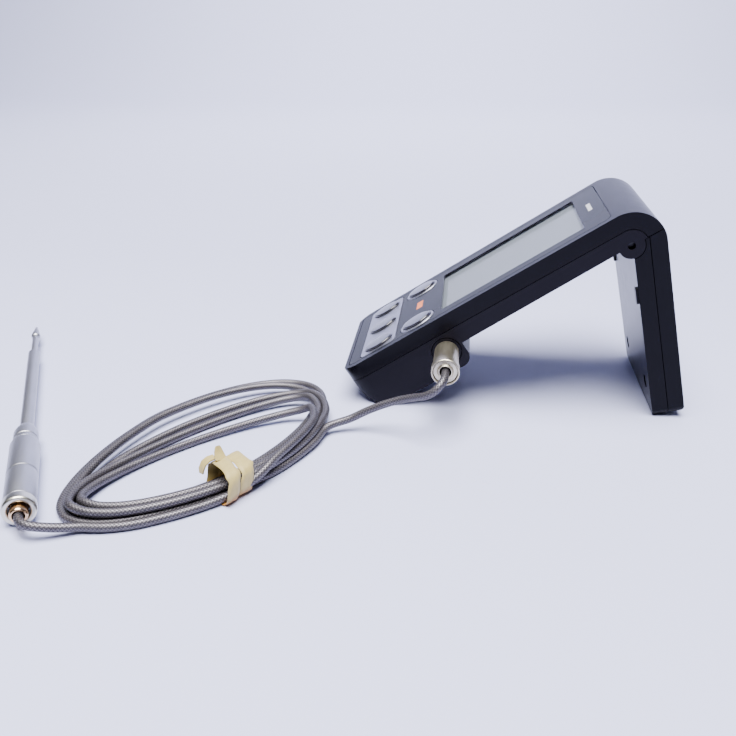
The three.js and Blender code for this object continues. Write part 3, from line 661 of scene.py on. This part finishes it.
def tube_mesh(name, path, radius):
    """A tube along path in metres, with its turn and its run in metres as a UV map."""
    sides = TUBE_SIDES
    count = len(path)
    tangent = np.gradient(path, axis=0)
    tangent /= np.linalg.norm(tangent, axis=1)[:, None]
    side = np.cross(tangent[0], (0.0, 0.0, 1.0))
    side /= np.linalg.norm(side)
    points = []
    for centre, direction in zip(path, tangent):
        side = side - direction * side.dot(direction)
        side /= np.linalg.norm(side)
        other = np.cross(direction, side)
        for k in range(sides):
            a = 2 * math.pi * k / sides
            points.append(centre + radius * (math.cos(a) * side + math.sin(a) * other))
    faces = []
    for ring in range(count - 1):
        for k in range(sides):
            a, b = ring * sides + k, ring * sides + (k + 1) % sides
            faces.append((a, b, b + sides, a + sides))
    faces.append(tuple(range(sides))[::-1])
    faces.append(tuple(range((count - 1) * sides, count * sides)))
    mesh = mesh_from(name, points, faces)
    along = np.concatenate([[0], np.cumsum(np.linalg.norm(np.diff(path, axis=0), axis=1))])
    layer = mesh.uv_layers.new(name="weave")
    for ring in range(count - 1):
        for k in range(sides):
            loop = (ring * sides + k) * 4
            corners = ((k, ring), (k + 1, ring), (k + 1, ring + 1), (k, ring + 1))
            for corner, (u, v) in enumerate(corners):
                layer.data[loop + corner].uv = (u / sides, along[v])
    return mesh


ROUTE_STEP = 2.0
HELD_AT_PLUG, HELD_AT_PROBE = 12, 16  # steps at each end that stay on their line
cable_line = settle(even_steps(designed_route(), ROUTE_STEP), ROUTE_STEP, HELD_AT_PLUG, HELD_AT_PROBE)
cable_line = even_steps(cable_line, 1.0)
cable_path = (cable_line + np.array(SHIFT)) * MM
cable_mesh = tube_mesh("cable", cable_path, CABLE_RADIUS * MM)
cable_nodes = ["cable_plug_lead", "cable_coil", "cable_probe_lead"]
cable = add_piece("cable", cable_mesh, "probe_cable", BRAID, cable_nodes)

# ---------- case ----------
# Sizes in the unit's and the stand's own millimetres.
HALF_WIDTH = 25.1
PIVOT_S = 102.25
THIN_DEPTH = 10.7
SEAM_DEPTH = 5.4
STAND_SPLIT = 5.5


def near_front_seam(p):
    """The front housing's joint with the rear one, all inside its rim, and its rear end by the lugs."""
    at_end = p.y > PIVOT_S - 0.5 and math.hypot(p.y - PIVOT_S, p.z + THIN_DEPTH) < 6
    return p.z < 0.3 - SEAM_DEPTH or abs(p.x) < HALF_WIDTH - 1.5 or at_end


def near_rear_seam(p):
    """The rear housing's joint with the front one, its inside and its rear end by the lugs."""
    at_end = p.y > PIVOT_S - 0.5 and p.z > 0.2 - THIN_DEPTH
    inside = p.z > -10.9 and abs(p.x) < HALF_WIDTH - 1.0
    return p.z > -SEAM_DEPTH - 0.3 or at_end or inside


rounded_copy("front_housing", 0.45, UNIT, near_front_seam)
rounded_copy("rear_housing", 0.4, UNIT, near_rear_seam)
rounded_copy("battery_door", 0.2)
rounded_copy("key_panel", 0.15)
rounded_copy("stand_inner_shell", 0.4, STAND, lambda p: p.z > STAND_SPLIT - 0.4 or p.y < 6)
rounded_copy("stand_outer_shell", 0.5, STAND, lambda p: p.z < STAND_SPLIT + 0.4 or p.y < -8)

# ---------- keys ----------
KEY = {"semi_x": 4.1, "semi_s": 5.4, "pitch": 16.2, "lower": 13.75, "upper": 29.6, "top": 0.93}
KEY_PLACES = {
    "key_lower_left": (-KEY["pitch"], KEY["lower"]),
    "key_lower_center": (0, KEY["lower"]),
    "key_lower_right": (KEY["pitch"], KEY["lower"]),
    "key_upper_left": (-KEY["pitch"], KEY["upper"]),
    "key_upper_right": (KEY["pitch"], KEY["upper"]),
}
KEY_FILLET = 0.42
KEY_CROWN = 0.06
KEY_SHOULDER = {"reach": 0.8, "low": -3.2, "high": -2.3}
CROWN_MIDDLE = 3.7  # how far in from the rim the crown is at its highest
CROWN_REACH = 3.3  # how far out from there it ends
RING_GAP = 0.3
RING_SIDES = 56


def make_key(node, x, s_along):
    """An oval cap with a rounded rim and a slightly crowned top, on the shoulder that holds it in."""
    def ring(inset, height):
        return (x, s_along, KEY["semi_x"] - inset, KEY["semi_s"] - inset, height)

    reach, low, high = KEY_SHOULDER["reach"], KEY_SHOULDER["low"], KEY_SHOULDER["high"]
    rings = [ring(-reach, low), ring(-reach, high), ring(0, high), ring(0, KEY["top"] - KEY_FILLET)]
    for k in range(1, 7):
        a = math.radians(15 * k)
        rings.append(ring(KEY_FILLET * (1 - math.cos(a)), KEY["top"] - KEY_FILLET * (1 - math.sin(a))))
    for inset in (1.0, 1.8, 2.8, CROWN_MIDDLE):
        rise = KEY_CROWN * (1 - ((CROWN_MIDDLE - inset) / CROWN_REACH) ** 2)
        rings.append(ring(inset, KEY["top"] + max(0.0, rise)))
    mesh = stacked_rings(node + "_cap", rings, UNIT)
    add_piece(node + "_cap", mesh, BODY_OF[node], KEY_BLACK, [node])


def make_key_ring(node, x, s_along):
    """The thin bright ring around an upper key, half round on top."""
    section = [
        (0, -1.1), (0, 0.0), (0.1, 0.13), (0.28, 0.2), (0.62, 0.2), (0.8, 0.13), (0.9, 0.0), (0.9, -1.1),
    ]
    sides = RING_SIDES
    points, faces = [], []
    for k in range(sides):
        a = 2 * math.pi * k / sides
        for out, height in section:
            reach = RING_GAP + out
            points.append((x + (KEY["semi_x"] + reach) * math.cos(a),
                           s_along + (KEY["semi_s"] + reach) * math.sin(a), height))
    n = len(section)
    for k in range(sides):
        for i in range(n):
            a, b = k * n + i, k * n + (i + 1) % n
            c, d = (k + 1) % sides * n + (i + 1) % n, (k + 1) % sides * n + i
            faces.append((a, b, c, d))
    mesh = mesh_from(node + "_trim", points, faces, UNIT)
    fix_normals(mesh)
    mesh.set_sharp_from_angle(angle=math.radians(50))
    add_piece(node + "_trim", mesh, BODY_OF[node], SILVER, [node])


for key_node, (key_x, key_s) in KEY_PLACES.items():
    make_key(key_node, key_x, key_s)
    if "upper" in key_node:
        make_key_ring(key_node.replace("key", "key_ring"), key_x, key_s)

# ---------- plug and probe ----------
# Each profile is radius and station, mm: out from the unit's middle on the plug, from the tip on the probe.
turned_piece("plug_tip", [
    (0, 11), (0.7, 11.4), (1.2, 12.6), (0.8, 13.6), (1.2, 14.4), (1.2, 15.9), (0, 15.9),
], PLUG)
turned_piece("plug_sleeve", [(0, 16.8), (1.2, 16.8), (1.2, 25.2), (0, 25.2)], PLUG)
turned_piece("plug_barrel", [
    (0, 25.4), (4.1, 25.4), (4.14, 30.0), (4.2, 35.5), (4.4, 37.0), (4.6, 38.6), (4.6, 41.45),
    (4.35, 41.7), (4.1, 41.5), (4.1, 39.6), (2.9, 39.6), (2.9, 27.2), (0, 27.2),
], PLUG, 0.12)
turned_piece("plug_end_ring", [
    (1.8, 39.9), (3.8, 39.9), (3.8, 41.0), (3.4, 40.9), (2.7, 40.75), (2.4, 41.15), (2.2, 41.45),
    (1.9, 41.4), (1.8, 41.1),
], PLUG, 0.1)
turned_piece("probe_point", [
    (0, 0), (0.25, 0.15), (0.45, 0.6), (1.75, 10.2), (1.65, 11.0), (1.2, 11.6), (0, 11.6),
], PROBE, 0.2)
turned_piece("probe_shank", [(0, 11.8), (1.2, 11.8), (1.2, 28.3), (0, 28.3)], PROBE)
turned_piece("probe_tube", [
    (0, 28.5), (1.6, 28.5), (1.9, 28.8), (2.15, 29.4), (2.15, 92.6), (1.65, 92.6), (1.65, 31), (0, 31),
], PROBE)
turned_piece("probe_collar", [
    (0, 93), (2.6, 93), (3.1, 94.6), (3.8, 97.2), (3.8, 101.0), (3.65, 101.2), (3.65, 101.6),
    (3.8, 101.8), (3.9, 103.6), (0, 103.6),
], PROBE)
turned_piece("probe_grip", [
    (0, 104), (4.1, 104), (4.5, 105.6), (4.5, 122.4), (4.35, 122.8), (4.35, 123.6), (4.5, 124),
    (4.5, 137.8), (2.8, 137.8), (2.8, 120), (0, 120),
], PROBE)
turned_piece("probe_end_ring", [
    (3.1, 138.1), (4.7, 138.1), (4.7, 141.0), (4.3, 141.5), (3.4, 141.5), (3.1, 141.2),
], PROBE, 0.3)
turned_piece("probe_ferrule", [
    (1.65, 130), (2.5, 130), (2.5, 139.0), (2.3, 139.4), (2.3, 140.2), (2.5, 140.6), (2.5, 143.2),
    (2.2, 143.8), (1.65, 143.8),
], PROBE, 0.2)

# ---------- twist tie ----------
COIL_FRAME = row_matrix((*COIL_CENTRE, 0.0), Matrix.Rotation(COIL_TURN, 3, "Z"))
TIE_MIDDLE = (23.15, 4.85)
TIE_HALF = (5.75, 4.5)
TIE_LOWEST = 0.35
TIE_SQUARENESS = 0.62  # 1 is an oval wrap, less is squarer
WRAP_STEPS = 64
PAPER_THICKNESS = 0.42
# Shares of the band's width and of the paper's thickness, with two low ridges along its outside.
BAND_SECTION = [
    (-0.5, 0.0), (-0.47, 0.5), (-0.2, 0.75), (0.0, 0.6), (0.2, 0.75), (0.47, 0.5), (0.5, 0.0),
    (0.47, -0.5), (0.0, -0.4), (-0.47, -0.5),
]


def ribbon(rows, closed):
    """Points and faces of a band; each row is its centre, its way across, its way out and its width."""
    points, faces = [], []
    for centre, across, out, width in rows:
        for a, b in BAND_SECTION:
            points.append(Vector(centre) + across * (a * width) + out * (b * PAPER_THICKNESS))
    n = len(BAND_SECTION)
    for row in range(len(rows) if closed else len(rows) - 1):
        low, high = row * n, (row + 1) % len(rows) * n
        for i in range(n):
            j = (i + 1) % n
            faces.append((low + i, low + j, high + j, high + i))
    if not closed:
        faces += [tuple(range(n))[::-1], tuple(range(len(points) - n, len(points)))]
    return points, faces


def wrap_rows(middle_u, leans, lift, width, phase):
    """One turn of the tie round the bundle; leans are its shifts along it at the top and at the +v side."""
    rows = []
    for k in range(WRAP_STEPS):
        a = 2 * math.pi * k / WRAP_STEPS
        c, d = math.cos(a), math.sin(a)
        across_place = math.copysign(abs(c) ** TIE_SQUARENESS, c)
        height_place = math.copysign(abs(d) ** TIE_SQUARENESS, d)
        v = TIE_MIDDLE[0] + (TIE_HALF[0] + lift) * across_place
        z = TIE_MIDDLE[1] + (TIE_HALF[1] + lift) * height_place
        wrinkle = 0.10 * math.sin(5 * a + phase) + 0.06 * math.sin(11 * a)
        out = Vector((0, c / TIE_HALF[0], d / TIE_HALF[1])).normalized()
        lean = leans[0] * height_place + leans[1] * across_place
        across = Vector((1, 0.10 * math.sin(3 * a + phase), 0)).normalized()
        centre = (middle_u + lean + wrinkle, v, max(z, TIE_LOWEST))
        rows.append((centre, across, out, width * (1 + 0.08 * math.sin(7 * a + phase))))
    return rows


def tail_rows(stations, across_way=(1, 0.15, 0.1)):
    """A free end of the tie: each station is a point and a width, and the band lies across across_way."""
    rows = []
    for k, (point, width) in enumerate(stations):
        before = Vector(stations[max(k - 1, 0)][0])
        after = Vector(stations[min(k + 1, len(stations) - 1)][0])
        along = (after - before).normalized()
        across = Vector(across_way).normalized()
        across = (across - along * across.dot(along)).normalized()
        rows.append((point, across, across.cross(along), width))
    return rows


def make_tie():
    """Paper twist tie: two turns round the bundle that meet low down, and its two folded ends."""
    standing_end = [
        ((12.6, 20.6, 9.7), 4.2), ((12.2, 19.4, 10.6), 3.9), ((11.8, 18.5, 11.6), 3.2),
        ((11.5, 18.0, 12.6), 2.2), ((11.4, 17.8, 13.0), 1.2),
    ]
    hanging_end = [
        ((13.2, 18.2, 10.3), 3.0), ((15.0, 17.6, 10.1), 3.2), ((16.4, 17.0, 9.0), 3.2),
        ((17.2, 16.8, 7.4), 3.0), ((17.5, 17.0, 6.2), 2.2),
    ]
    parts = [
        ribbon(wrap_rows(9.8, (-1.3, 0.9), 0.0, 4.9, 0.4), True),
        ribbon(wrap_rows(14.6, (-1.0, 1.3), 0.4, 4.5, 2.1), True),
        ribbon(tail_rows(standing_end), False),
        ribbon(tail_rows(hanging_end, (0.2, 1, 0.1)), False),
    ]
    points, faces = [], []
    for part_points, part_faces in parts:
        faces += [tuple(i + len(points) for i in face) for face in part_faces]
        points += part_points
    mesh = mesh_from("twist_tie", points, faces, COIL_FRAME)
    fix_normals(mesh)
    mesh.set_sharp_from_angle(angle=math.radians(60))
    return add_piece("twist_tie", mesh, "probe_cable", PAPER, ["cable_tie"])


tie = make_tie()

# ---------- stage ----------
FLOOR_COLOUR = (0.53, 0.55, 0.79)
FLOOR_REACH = 4.0
CURVE_START = -0.85
CURVE_RADIUS = 0.55
CURVE_STEPS = 24
BACKDROP_TOP = 3.0


def make_stage():
    """A pale floor that curves up into a backdrop behind the object."""
    profile = [(FLOOR_REACH, 0.0), (CURVE_START, 0.0)]
    for k in range(1, CURVE_STEPS + 1):
        a = math.radians(90 * k / CURVE_STEPS)
        profile.append((CURVE_START - CURVE_RADIUS * math.sin(a), CURVE_RADIUS * (1 - math.cos(a))))
    profile.append((CURVE_START - CURVE_RADIUS, BACKDROP_TOP))
    points = [(x, y, z) for x, z in profile for y in (-FLOOR_REACH, FLOOR_REACH)]
    faces = [(2 * k, 2 * k + 2, 2 * k + 3, 2 * k + 1) for k in range(len(profile) - 1)]
    floor_mesh = mesh_from("floor", points, faces)
    fix_normals(floor_mesh)
    floor = bpy.data.objects.new("floor", floor_mesh)
    bpy.context.scene.collection.objects.link(floor)
    s = Shader("floor", Roughness=0.6, Specular_IOR_Level=0.3)
    s.set("Base Color", FLOOR_COLOUR)
    floor.data.materials.append(s.material)


def area_light(name, place, target, size, power):
    """A round soft light at place, aimed at target, in metres and watts."""
    data = bpy.data.lights.new(name, "AREA")
    data.shape, data.size, data.energy = "DISK", size, power
    light = bpy.data.objects.new(name, data)
    bpy.context.scene.collection.objects.link(light)
    light.location = place
    light.visible_camera = False
    light.rotation_mode = "QUATERNION"
    light.rotation_quaternion = (Vector(target) - Vector(place)).to_track_quat("-Z", "Y")


SKY_BRIGHT = (0.96, 0.95, 0.94)
SKY_DARK = (0.07, 0.07, 0.10)
SKY_STRENGTH = 0.19
DARK_SIDE = (0.9, 0.1, -0.25)
FALL_START, FALL_END = -0.3, 0.7


def make_world():
    """A soft pale surround that falls off to dark on the +X side, where the studio is unlit."""
    world = bpy.data.worlds.new("studio")
    bpy.context.scene.world = world
    world.use_nodes = True
    tree = world.node_tree
    side = tree.nodes.new("ShaderNodeVectorMath")
    side.operation = "DOT_PRODUCT"
    side.inputs[1].default_value = DARK_SIDE
    tree.links.new(tree.nodes.new("ShaderNodeTexCoord").outputs["Generated"], side.inputs[0])
    fall = tree.nodes.new("ShaderNodeMapRange")
    fall.inputs["From Min"].default_value = FALL_START
    fall.inputs["From Max"].default_value = FALL_END
    tree.links.new(side.outputs["Value"], fall.inputs["Value"])
    blend = tree.nodes.new("ShaderNodeMix")
    blend.data_type = "RGBA"
    tree.links.new(fall.outputs[0], blend.inputs[0])
    blend.inputs[6].default_value = (*SKY_BRIGHT, 1)
    blend.inputs[7].default_value = (*SKY_DARK, 1)
    background = tree.nodes["Background"]
    tree.links.new(blend.outputs[2], background.inputs["Color"])
    background.inputs["Strength"].default_value = SKY_STRENGTH


make_stage()
make_world()
area_light("key_light", (0.16, 0.01, 1.0), (0, 0, 0), 0.84, 47)
area_light("backdrop_light", (-0.7, 0.0, 0.8), (-1.4, 0.0, 0.35), 0.9, 20)

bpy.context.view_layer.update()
